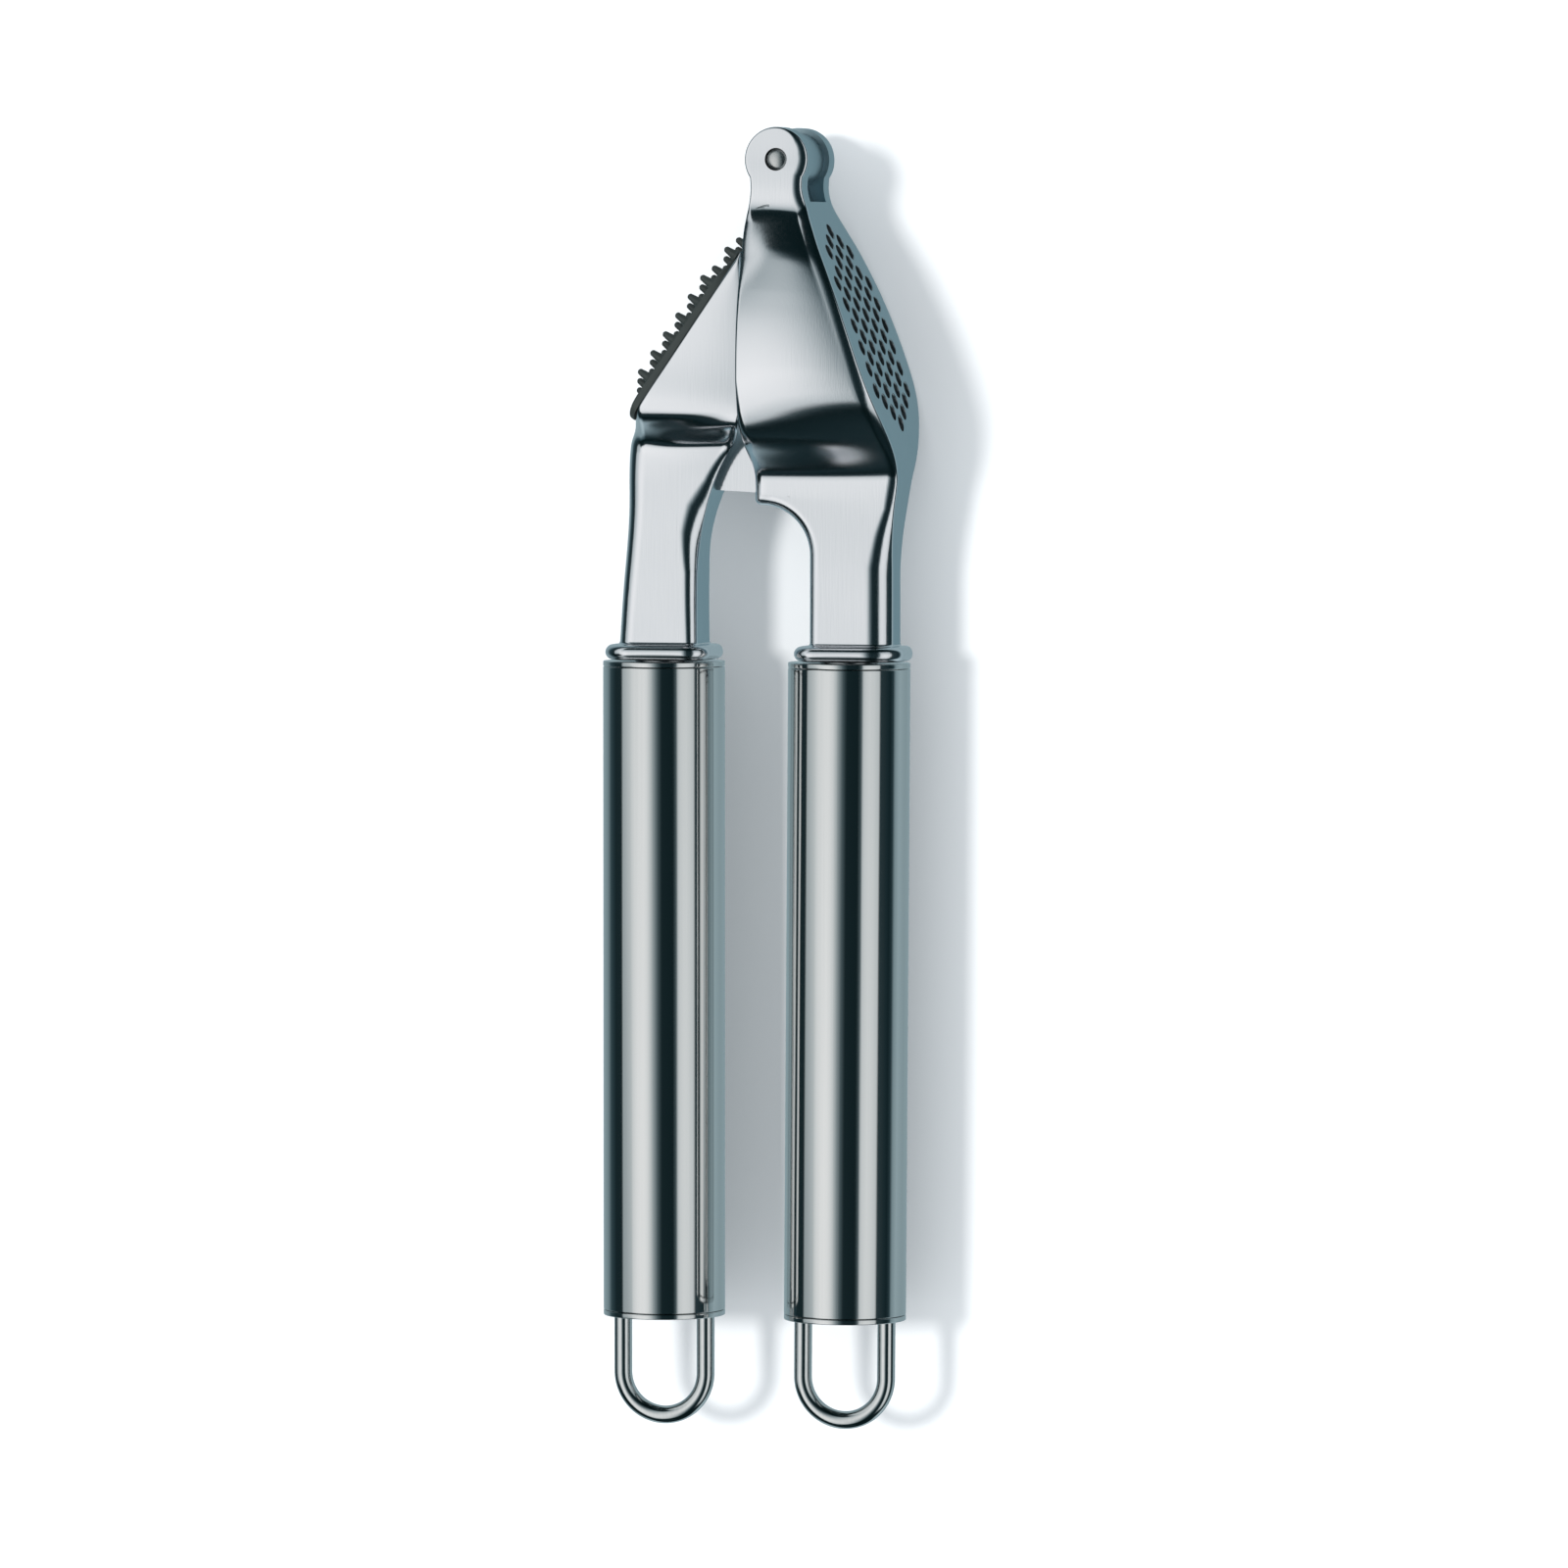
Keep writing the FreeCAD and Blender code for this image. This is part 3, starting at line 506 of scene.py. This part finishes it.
def buildHopper():
    ways = hopperWays
    ear, waist, parting = ways["ear"], ways["waist"], ways["parting"]
    low = math.degrees(math.acos(waist / ear))
    shoulder = -math.sqrt(ear ** 2 - waist ** 2)
    leftEar = arcPoints((0, 0), ear, 90, 180 + low, armWays["earStations"])
    rightEar = leftEar * [-1, 1]
    leftSide = smoothThrough([(-waist, shoulder), (-waist + 0.10, -4.3), (-waist - 0.06, -6.0),
                              (parting + 0.02, -9.6), (parting, -14.0)], 80)
    heel = arcPoints((parting + 1.0, -52.4), 1.0, 180, 270, 14)
    bend = arcPoints((-3.7, -61.2), 7.8, 90, 0, 60)
    neckLine = [(4.1, -66.0), (4.1, -beadWays["start"])]
    rest = chained(leftSide, [(parting, -20), (parting, -52.4)], heel, bend, neckLine)
    rest = respaced(rest, armWays["stations"])
    wanted = rest[:, 1]
    # the far side's stations are evened out past the heel, where the near side doubles back
    spread = 11
    window = np.ones(2 * spread + 1) / (2 * spread + 1)
    eased = np.convolve(np.pad(wanted, spread, mode="edge"), window, "valid")
    wanted = np.where(wanted < -46, eased, wanted)
    wanted[-1] = -beadWays["start"]
    rightSide = smoothThrough([(waist, shoulder), (waist - 0.08, -4.4), (4.9, -7.6), (6.2, -10.5),
                               (10.9, -20.8), (15.4, -33.0), (18.1, -42.1), (18.62, -46.2), (17.9, -53.0),
                               (17.15, -61.0), (17.1, -66.0), (17.1, -beadWays["start"])], 400)
    far = np.stack([np.interp(-wanted, -rightSide[:, 1], rightSide[:, 0]), wanted], axis=1)
    left = np.concatenate([leftEar[:-1], rest])
    right = np.concatenate([rightEar[:-1], far])

    reach, neck = ways["reach"], ways["neckDepth"]
    y = left[:, 1]
    leftHeight = heights([(6, reach), (0, reach), (-5, reach), (-7.4, reach), (-8.3, 8.8), (-10.9, 10.2),
                          (-12.2, 10.8), (-14.5, 11.65), (-18.5, 13.15), (-23.9, 14.75), (-29.9, 15.45),
                          (-34.5, 15.4), (-38.5, 14.8), (-41.2, 13.8), (-43.2, 12.2), (-45.2, 9.4),
                          (-47.2, 6.6), (-48.8, 5.1), (-50.6, 4.65), (-54, neck), (-62, neck),
                          (-80, neck)], y)
    y = right[:, 1]
    rightHeight = heights([(6, reach), (0, reach), (-5, reach), (-7.2, reach), (-8.0, 8.75), (-9.0, 9.4),
                           (-11.5, 11.0), (-13.6, 12.2), (-16.5, 13.25), (-20.8, 14.4), (-26.9, 15.4),
                           (-29.9, 15.6), (-33, 15.5), (-36, 14.8), (-38.4, 13.5), (-42.1, 10.5),
                           (-45.1, 7.9), (-47.6, 6.0), (-49.2, 5.1), (-51.5, 4.68), (-54, neck), (-62, neck),
                           (-80, neck)], y)
    leftReach = along(y, (-5, 0.3), (7.2, 0.3), (9.5, 1.3), (15, 1.3), (20, 0.7), (34, 0.5), (39, 1.1),
                      (43, 2.0), (47, 1.7), (52, 1.6), (80, 1.35))
    leftTurn = along(y, (-5, 70), (7, 60), (8.5, 30), (16, 30), (24, 60), (34, 80), (80, 84))
    leftCorner = along(y, (-5, 0.15), (80, 0.15))
    rightReach = along(y, (-5, 0.3), (-3.2, 1.0), (-1, 1.3), (6, 1.3), (9, 1.5), (40, 1.5), (54, 1.5),
                       (58, 2.6), (63, 3.5), (80, 3.5))
    rightTurn = along(y, (-5, 70), (-3.2, 30), (-1, 27), (48, 27), (53, 32), (58, 48), (64, 60), (80, 60))
    rightCorner = along(y, (-5, 0.15), (-1, 0.45), (40, 0.45), (54, 0.5), (64, 1.0), (80, 1.0))
    bias = along(y, (-5, 1.0), (6, 1.0), (9, 2.0), (15, 2.0), (22, 1.3), (36, 1.2), (41, 1.3), (50, 1.0),
                 (80, 1.0))
    crown = along(y, (-5, 0.0), (7, 0.0), (12, 0.26), (20, 0.42), (32, 0.46), (40, 0.34), (50, 0.0),
                  (80, 0.0))
    rings = castRings(left, right, (leftHeight, leftReach, leftTurn, leftCorner),
                      (rightHeight, rightReach, rightTurn, rightCorner), bias, crown)
    thing = dress(meshFrom("hopper", [closedGrid(withBead(rings, -0.3), startOpen=True)]),
                  finish["cast"], finish["side"], finish["inner"])

    # slot, throat, hollow, pin bore and the sieve's holes
    stop = math.radians(ways["stop"])
    floor, throat = ways["slotFloor"], ways["throat"]
    slotLine = [(-20, floor), (20, floor), (20, 20), (-20, 20)]
    sweep = arcPoints((0, 0), throat, -90 + ways["stop"], -90 - ways["stop"], 12)
    inside = math.tan(stop) * -floor
    throatLine = chained([(-20, floor + 1), (inside, floor + 1), (inside, floor)], sweep,
                         [(-20, sweep[-1][1])])
    boreLine = [(ways["bore"], -20), (ways["bore"], 20)]
    cutters = [meshFrom("hollowCut", [swungLeaf(0.0, ways["stop"], 70)]),
               meshFrom("slotCut", [prism(slotLine, -ways["slot"], ways["slot"])]),
               meshFrom("throatCut", [prism(throatLine, 0.01 - ways["slot"], ways["slot"] - 0.01)]),
               meshFrom("boreCut", [lathe(boreLine, (0, 0, 0), (0, 0, 1), 48)])]
    tilt = math.radians(sieveWays["tilt"])
    outward = np.array([math.cos(tilt), math.sin(tilt), 0])
    down = np.array([math.sin(tilt), -math.cos(tilt), 0])
    distances = right @ down[:2]
    proud = right @ outward[:2]
    pastEar = 60     # the stations from here on run one way down the sieve's face
    holes = []
    for across, distance in sieveSpots():
        surface = np.interp(distance, distances[pastEar:], proud[pastEar:])
        spot = down * distance + np.array([0, 0, across])
        radius = sieveWays["holeRadius"]
        lip = radius + 0.14
        profile = [(radius, -2.5), (radius, surface - 0.10), (lip, surface + 0.04), (lip, 7.0)]
        holes.append(lathe(profile, spot, outward, 24))
    cutters.insert(0, meshFrom("holesCut", holes))
    # the slot's walls take the ground finish with its painted teal-grey shade, the other cuts the as-cast one
    for cutter in cutters:
        dress(cutter, finish["side" if cutter.name.startswith("slot") else "inner"])
    # a short sunk crease at the foot of the ear
    foldLine = [(0, -1.5), (0.12, -1.1), (0.2, -0.3), (0.2, 0.3), (0.12, 1.1), (0, 1.5)]
    fold = meshFrom("foldCut", [lathe(foldLine, (-1.75, -7.15, reach + 0.05), (0.965, 0.26, 0), 16)])
    cutters.append(dress(fold, finish["inner"]))
    cutBy(thing, cutters)
    paintWalls(thing, right, left)
    return finishPiece(thing, "hopper_arm", ["hopper_casting"], [], crease=35)


def paintWalls(thing, *lines):
    # the flat walls along the outline get the ground finish, whose darker teal-grey tones are painted shade
    count = len(thing.data.polygons)
    centre, normal, index = np.zeros(count * 3), np.zeros(count * 3), np.zeros(count, np.int32)
    thing.data.polygons.foreach_get("center", centre)
    thing.data.polygons.foreach_get("normal", normal)
    thing.data.polygons.foreach_get("material_index", index)
    centre = (centre.reshape(-1, 3) - hinge) / mm
    upright = (np.abs(normal.reshape(-1, 3)[:, 2]) < 0.12) & (index == 0)
    gap = np.min([np.linalg.norm(centre[:, None, :2] - respaced(line, 1200)[None], axis=2).min(axis=1)
                  for line in lines], axis=0)
    index[upright & (gap < 0.08) & (centre[:, 1] < 5.2)] = 1
    thing.data.polygons.foreach_set("material_index", index)


plungerWays = {"parting": -5.0, "faceTilt": 34.6, "faceOffset": 3.95, "headHeight": 10.8, "neckDepth": 4.6,
               "eye": 4.2, "eyeReach": 4.5, "lugReach": 4.47, "heel": 1.2, "ramStop": 21.3, "bore": 1.8}


def slantedFace():
    # the plunger's outer face: its normal, its direction down the arm, and its nearest point to the hinge
    tilt = math.radians(plungerWays["faceTilt"])
    outward = np.array([-math.cos(tilt), math.sin(tilt), 0])
    down = np.array([-math.sin(tilt), -math.cos(tilt), 0])
    return outward, down, -outward * plungerWays["faceOffset"]


def buildPlunger():
    ways = plungerWays
    outward, down, foot = slantedFace()
    parting = ways["parting"]
    apex = (foot + down * (parting - foot[0]) / down[0])[:2]
    knee = (foot + down * 47.6)[:2]
    outer = smoothThrough([knee - down[:2] * 1.2, knee, (-24.95, -43.6), (-25.3, -46.0), (-25.35, -54.0),
                           (-26.2, -66.0), (-26.8, -beadWays["start"])], 120)
    left = chained([apex, knee - down[:2] * 1.3], outer)
    right = chained([apex, (parting, -38.6)],
                    smoothThrough([(parting, -39.0), (-5.6, -41.0), (-8.6, -45.2), (-11.6, -51.2),
                                   (-13.35, -57.3), (-14.0, -65.0), (-14.0, -beadWays["start"])], 140))
    left = respaced(left, armWays["stations"])
    right = np.stack([np.interp(-left[:, 1], -right[:, 1], right[:, 0]), left[:, 1]], axis=1)
    right[0] = left[0]
    top, neck = ways["headHeight"], ways["neckDepth"]
    drop = [(0.0, top), (1.3, top - 0.4), (2.7, top - 2.3), (4.0, top - 4.6), (5.2, top - 5.8),
            (6.8, neck + 0.05), (10.0, neck), (16, neck), (40, neck)]
    leftHeight = heights([(20, top - 0.2), (-14, top - 0.2), (-24, top + 0.03), (-33, top + 0.08)]
                         + [(-37.4 - y, z) for y, z in drop], left[:, 1])
    rightHeight = heights([(20, top - 0.2), (-14, top - 0.2), (-24, top + 0.04), (-35, top + 0.1)]
                          + [(-39.6 - y, z) for y, z in drop], right[:, 1])
    width = np.linalg.norm(left - right, axis=1)
    y = left[:, 1]
    leftReach = along(y, (0, 0.4), (38, 0.4), (42, 2.2), (45, 3.0), (60, 2.7), (80, 2.4))
    leftTurn = along(y, (0, 75), (38, 75), (44, 86), (80, 86))
    rightReach = along(y, (0, 0.3), (38, 0.3), (46, 1.0), (50, 1.6), (54, 3.0), (58, 3.0), (64, 1.9),
                       (80, 1.5))
    rightTurn = along(y, (0, 70), (38, 70), (44, 34), (52, 34), (60, 58), (80, 60))
    rightCorner = along(y, (0, 0.15), (44, 0.3), (60, 0.5), (80, 0.5))
    leftReach = np.minimum(leftReach, width * 0.4 + 0.001)
    rightReach = np.minimum(rightReach, width * 0.4 + 0.001)
    leftCorner = np.minimum(0.15, width * 0.2 + 0.0005)
    rightCorner = np.minimum(rightCorner, width * 0.2 + 0.0005)
    bias = np.ones(len(left))
    crown = along(y, (0, 0.0), (22, 0.05), (36, 0.12), (44, 0.1), (50, 0.0), (80, 0.0))
    rings = castRings(left, right, (leftHeight, leftReach, leftTurn, leftCorner),
                      (rightHeight, rightReach, rightTurn, rightCorner), bias, crown)
    thing = dress(meshFrom("plunger", [closedGrid(withBead(rings, -0.1), startOpen=True)]),
                  finish["cast"], finish["side"], finish["inner"])

    # the ram is swung about the hinge and trimmed by the slanted face; the eye and lug reach up to the pin
    ram = meshFrom("ram", [swungLeaf(0.35, ways["ramStop"], 38)])
    sunk = foot - outward * 0.07
    near = sunk - down * 20
    inside = parting - 0.25
    meet = sunk + down * ((inside - sunk[0]) / down[0])
    trimLine = [near[:2], meet[:2], (inside, -70), (-70, -70), (-70, 60), (near[0], 60)]
    cutBy(ram, [meshFrom("faceTrim", [prism(trimLine, -30, 30)])])
    lugEnd, side = 13.95, math.radians(20.3)
    below = (lugEnd * math.sin(side), -lugEnd * math.cos(side))
    lugLine = [(-4.0, -1.25), (-2.0, -7.5), (sunk + down * 9.0)[:2], (sunk + down * 12.0)[:2], (0, -lugEnd),
               below, (0.3 * below[0], 0.3 * below[1]), (0, 0)]
    lug = meshFrom("lug", [prism(lugLine, -ways["lugReach"], ways["lugReach"])])
    eyeEnd = ways["eyeReach"]
    eyeProfile = rounded([(0, -eyeEnd), (ways["eye"], -eyeEnd), (ways["eye"], eyeEnd), (0, eyeEnd)], 0.3)
    eye = meshFrom("eye", [lathe(eyeProfile, (0, 0, 0), (0, 0, 1), 96)])
    heelLine = [(-9.0, -40.0), (parting, -40.0), (parting, -51.3), (parting - 0.2, -51.5), (-12.5, -51.1),
                (-11.5, -47.0)]
    heel = meshFrom("heel", [prism(heelLine, -ways["heel"], ways["heel"])])
    # the lug and eye take the ground finish with its painted teal-grey shade
    for part, look in ((ram, "inner"), (lug, "side"), (eye, "side"), (heel, "cast")):
        dress(part, finish[look])
    cutBy(thing, [ram, lug, eye, heel], "UNION")
    bore = meshFrom("boreCut", [lathe([(ways["bore"], -20), (ways["bore"], 20)], (0, 0, 0), (0, 0, 1), 48)])
    cutBy(thing, [dress(bore, finish["inner"])])
    paintWalls(thing, left, right)
    return finishPiece(thing, "plunger_arm", ["plunger_casting"], [], crease=35)


padWays = {"thickness": 1.2, "offset": 2.7, "reach": 10.5, "start": 11.2, "end": 46.2, "edge": 0.35,
           "nubHeight": 2.2, "nubTip": 0.52, "nubBase": 0.74, "bendFrom": 41.5, "bend": 0.022}


def buildPad():
    # plate: the outline drawn in by edge (1 - cos a) as it rises by edge sin a
    # nubs: turned profiles with round tips, one to each sieve hole
    ways = padWays
    outward, down, foot = slantedFace()
    start, end, reach = ways["start"], ways["end"], ways["reach"]
    shoulder = smoothThrough([(3.1, start + 0.9), (4.2, start + 3.5), (6.6, start + 5.2), (9.6, start + 8.4),
                              (reach, start + 12.5)], 30)
    half = chained([(0, start), (2.2, start)], arcPoints((2.2, start + 0.9), 0.9, -90, 0, 6), shoulder,
                   [(reach, end - 3.0)], arcPoints((reach - 3, end - 3), 3.0, 0, 90, 12), [(0, end)])
    outline = np.concatenate([half, half[-2:0:-1] * [-1, 1]])
    outline = respaced(np.concatenate([outline, outline[:1]]), 260)[:-1]
    nextPoint, before = np.roll(outline, -1, axis=0), np.roll(outline, 1, axis=0)
    tangent = nextPoint - before
    tangent /= np.linalg.norm(tangent, axis=1)[:, None]
    inward = np.stack([-tangent[:, 1], tangent[:, 0]], axis=1)
    edge = ways["edge"]
    levels = [(0.0, -ways["thickness"])] + [(edge * (1 - math.cos(a)), edge * math.sin(a) - edge)
                                            for a in np.radians(np.linspace(0, 90, 6))]
    levels.append((1.2, 0.0))
    sideways = np.array([0, 0, -1.0])

    def lifted(flat, level):
        # points of the pad's own plane at a level above its outer face, bent round at its lower end
        past = np.maximum(flat[:, 1] - ways["bendFrom"], 0)
        sink = past ** 2 * ways["bend"]
        return (sideways * flat[:, :1] + down * (flat[:, 1:] - past[:, None] * 0.01)
                + outward * (level - ways["offset"] - sink[:, None] * (1 if level > -0.9 else 0.2)))

    rings = np.stack([lifted(outline + inward * draw, level) for draw, level in levels])
    parts = [closedGrid(rings)]
    base, tip, tall = ways["nubBase"], ways["nubTip"], ways["nubHeight"]
    dome = [(tip * math.cos(a), tall - tip + tip * math.sin(a)) for a in np.radians(np.linspace(0, 86, 6))]
    profile = [(base + 0.22, -0.25), (base + 0.18, 0.02), (base + 0.03, 0.18), (base - 0.03, 0.5)] + dome
    for across, distance in sieveSpots():
        drop = max(distance - ways["bendFrom"], 0) ** 2 * ways["bend"]
        spot = sideways * across + down * distance - outward * (ways["offset"] + drop)
        parts.append(lathe(profile, spot, outward, 16))
    thing = meshFrom("cleaningPad", parts)
    return finishPiece(thing, "plunger_arm", ["cleaning_pad"], [finish["pad"]], crease=40)


pinWays = {"radius": 1.74, "dome": 0.45, "turn": 1.25, "straight": 0.75}


def buildPin():
    # a turned profile whose ends are domes: radius sin a out, dome (1 - cos a) back
    low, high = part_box("pivot_pin")
    half = (high.z - low.z) / 2 / mm
    radius, dome, turn = pinWays["radius"], pinWays["dome"], pinWays["turn"]
    rise = [(radius * math.sin(a), half - dome * (1 - math.cos(a)) / (1 - math.cos(turn)))
            for a in np.linspace(0.0, turn, 9)]
    rise.append((radius, half - pinWays["straight"]))
    profile = [(r, -z) for r, z in rise] + [(r, z) for r, z in rise[::-1]]
    thing = meshFrom("pivotPin", [lathe(profile, (0, 0, 0), (0, 0, 1), 64)])
    return finishPiece(thing, "hopper_arm", ["pivot_pin"], [finish["pin"]])


handleWays = {"radius": 9.497, "wall": 0.8, "disc": 0.8, "edge": 0.16, "seam": 0.07, "wire": 1.397,
              "spread": 6.7, "straight": 9.097, "leg": 4.4}


def middle(node):
    low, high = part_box(node)
    return (np.array(low + high) / 2 - hinge) / mm


def buildHandle(arm):
    ways = handleWays
    body = arm + "_arm"
    top, bottom = middle(arm + "_handle_disc"), middle(arm + "_handle_cap")
    axis = bottom - top
    axis /= np.linalg.norm(axis)
    upper = top - axis * ways["disc"] / 2
    low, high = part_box(arm + "_handle_tube")
    length = (high.y - low.y) / mm - abs(axis[0]) * 2 * ways["radius"]
    radius, wall, edge, disc, seam = ways["radius"], ways["wall"], ways["edge"], ways["disc"], ways["seam"]
    tubeStart, tubeEnd = disc + seam, disc + length - seam

    collarLine = rounded([(4.5, 0), (radius, 0), (radius, disc), (4.5, disc)], edge)
    collar = meshFrom(arm + "Disc", [lathe(collarLine, upper, axis, 128, closed=True)])
    finishPiece(collar, body, [arm + "_handle_disc"], [finish["tube"]])
    tubeLine = rounded([(radius - wall, tubeStart + 1), (radius - wall, tubeStart), (radius, tubeStart),
                        (radius, tubeEnd), (radius - wall, tubeEnd), (radius - wall, tubeEnd - 1)], edge)
    tube = meshFrom(arm + "Tube", [lathe(tubeLine, upper, axis, 160, closed=True)])
    finishPiece(tube, body, [arm + "_handle_tube"], [finish["tube"]])
    end = disc + length + disc
    capLine = rounded([(0, end - 6), (radius - wall - 0.02, end - 6), (radius - wall - 0.02, end - disc),
                       (radius, end - disc), (radius, end), (0, end)], edge)
    cap = meshFrom(arm + "Cap", [lathe(capLine, upper, axis, 128)])
    finishPiece(cap, body, [arm + "_handle_cap"], [finish["tube"]])

    # the loop: a round wire carried down one leg, round a half circle and back up
    spread, straight, wire, leg = ways["spread"], ways["straight"], ways["wire"], ways["leg"]
    path = chained([(-spread, -leg), (-spread, straight)], arcPoints((0, straight), spread, 180, 0, 49),
                   [(spread, straight), (spread, -leg)])
    path = respaced(path, 140)
    tangent = np.gradient(path, axis=0)
    tangent /= np.linalg.norm(tangent, axis=1)[:, None]
    across = np.cross(axis, [0, 0, 1.0])
    across /= np.linalg.norm(across)
    turn = np.linspace(0, 2 * np.pi, 32, endpoint=False)
    flatNormal = np.stack([-tangent[:, 1], tangent[:, 0]], axis=1)
    origin = upper + axis * end
    spine = origin + path[:, :1] * across + path[:, 1:] * axis
    normal = flatNormal[:, :1] * across + flatNormal[:, 1:] * axis
    rings = (spine[:, None] + wire * (np.cos(turn)[None, :, None] * normal[:, None]
                                      + np.sin(turn)[None, :, None] * np.array([0, 0, 1.0])))
    loop = meshFrom(arm + "Loop", [closedGrid(rings)])
    finishPiece(loop, body, [arm + "_hanging_loop"], [finish["wire"]])


def dressNode(name, material):
    # a CAD node kept as it is, with this material
    node = frame["nodes"][name]
    node.data.materials.clear()
    node.data.materials.append(material)


buildHopper()
buildPlunger()
buildPad()
buildPin()
for armName in ("hopper", "plunger"):
    buildHandle(armName)
    dressNode(armName + "_tang", finish["inner"])
dressNode("pad_pegs", finish["pad"])
print("pieces built")

studio = {"sideAngle": 15.5, "headAngle": 2.9, "distance": 1550.0, "lens": 229.0, "aim": (-1.0, -96.8, 0.0),
          "sunStrength": 1.6, "sunAngle": 9.0, "sunFrom": (-0.36, 0.11, 1.0), "floor": (0.88, 0.88, 0.88),
          "fill": (1.0, 1.06, 1.11)}


def buildStudio():
    # the camera looks down on the press, a little from the sieve's side
    side, head = math.radians(studio["sideAngle"]), math.radians(studio["headAngle"])
    back = Vector((math.sin(side) * math.cos(head), math.sin(head), math.cos(side) * math.cos(head)))
    aim = Vector(hinge) + Vector(studio["aim"]) * mm
    across = Vector((0, 1, 0)).cross(back).normalized()
    upward = back.cross(across)
    turn = Matrix((across, upward, back)).transposed().to_4x4()
    turn.translation = aim + back * studio["distance"] * mm
    lens = bpy.data.cameras.new("camera")
    lens.lens = studio["lens"]
    lens.sensor_width = 36
    lens.clip_end = 20
    camera = bpy.data.objects.new("camera", lens)
    camera.matrix_world = turn
    bpy.context.scene.collection.objects.link(camera)
    bpy.context.scene.camera = camera

    floorMesh = bpy.data.meshes.new("floor")
    floorMesh.from_pydata([(-4, -4, 0), (4, -4, 0), (4, 4, 0), (-4, 4, 0)], [], [(0, 1, 2, 3)])
    floor = bpy.data.objects.new("floor", floorMesh)
    bpy.context.scene.collection.objects.link(floor)
    paper = bpy.data.materials.new("paper")
    paper.use_nodes = True
    shader = paper.node_tree.nodes["Principled BSDF"]
    shader.inputs["Base Color"].default_value = (*studio["floor"], 1)
    shader.inputs["Roughness"].default_value = 1.0
    shader.inputs["Specular IOR Level"].default_value = 0.0
    floorMesh.materials.append(paper)
    floor.visible_glossy = False

    sunLight = bpy.data.lights.new("key", "SUN")
    sunLight.energy = studio["sunStrength"]
    sunLight.angle = math.radians(studio["sunAngle"])
    sun = bpy.data.objects.new("key", sunLight)
    sun.rotation_mode = "QUATERNION"
    sun.rotation_quaternion = Vector(studio["sunFrom"]).to_track_quat("Z", "Y")
    sun.visible_glossy = False
    bpy.context.scene.collection.objects.link(sun)


# brightness of the studio by angle round the handles' direction, 0 straight up, minus to the plunger's side
roundStops = [(-180, 0.36), (-144, 0.38), (-118, 0.27), (-104, 0.06), (-90, 0.02), (-72, 0.02), (-69, 0.50),
              (-60, 0.60), (-50, 0.74), (-34, 0.90), (-24, 0.92), (-17, 0.86), (-11, 0.68), (-3.5, 0.33),
              (3.7, 0.10), (11, 0.014), (33, 0.010), (39, 0.10), (42, 0.62), (46, 0.74), (55, 0.80),
              (64, 0.76), (74, 0.64), (77, 0.04), (100, 0.012), (108, 0.04), (114, 0.30), (126, 0.42),
              (146, 0.36), (180, 0.36)]
# by angle towards the head (plus) or the loops (minus), above the floor and below it
alongStops = [(-90, 0.02), (-60, 0.004), (-53, 0.05), (-46, 0.72), (-30, 0.96), (-8, 1.0),
              (4, 0.93), (16, 0.80), (28, 0.60), (36, 0.44), (41, 0.06), (46, 0.006), (90, 0.0)]
floorStops = [(-90, 0.02), (-66, 0.03), (-60, 1.0), (-52, 1.6), (-40, 1.2), (-22, 1.0), (90, 1.0)]
# how far the light is moved on towards the head, by angle round
tiltStops = [(-180, 0.2), (-50, 0.2), (-39, 0.0), (180, 0.0)]


def buildWorld():
    world = bpy.data.worlds.new("studio")
    bpy.context.scene.world = world
    world.use_nodes = True
    tree = world.node_tree
    background = tree.nodes["Background"]
    start = Wire(tree, background.outputs[0])
    direction = start.node("ShaderNodeTexCoord", output=0)
    parts = direction.node("ShaderNodeSeparateXYZ", inputs={"Vector": direction})
    x, y, z = (Wire(tree, parts.socket.node.outputs[name]) for name in ("X", "Y", "Z"))
    around = x.maths("ARCTAN2", x, z) / (2 * math.pi) + 0.5
    height = y.maths("ARCSINE", y) / math.pi + 0.5

    def ramp(wire, stops, span):
        return wire.node("ShaderNodeValToRGB", {"stops": [((a + span) / (2 * span), v) for a, v in stops]},
                         {"Fac": wire})

    def mixed(kind, share, first, second):
        return start.node("ShaderNodeMix", {"data_type": "RGBA", "blend_type": kind},
                          {0: share, 6: first, 7: second}, output=2)

    tilt = ramp(around, tiltStops, 180)
    above = ramp(height - tilt, alongStops, 90)
    boost = 2.5     # a ramp's tones stop at 1, so the brighter ones are scaled down and up again
    dimmed = [(a, v / boost) for a, v in floorStops]
    below = mixed("MULTIPLY", 1.0, ramp(height, dimmed, 90), (boost, boost, boost, 1))
    up = (z * 12.0 + 0.5).clamped()
    glow = mixed("MULTIPLY", 1.0, ramp(around, roundStops, 180), mixed("MIX", up, below, above))
    lifted = mixed("ADD", 1.0, glow, (0.002, 0.007, 0.008, 1))
    rays = start.node("ShaderNodeLightPath").socket.node.outputs
    camera, soft = Wire(tree, rays["Is Camera Ray"]), Wire(tree, rays["Is Diffuse Ray"])
    filled = mixed("MIX", soft, lifted, (*studio["fill"], 1))
    shown = mixed("MIX", camera, filled, (0.95, 0.955, 0.96, 1))
    tree.links.new(shown.socket, background.inputs["Color"])


buildStudio()
buildWorld()
bpy.context.scene.view_settings.view_transform = "Standard"
print("studio built")
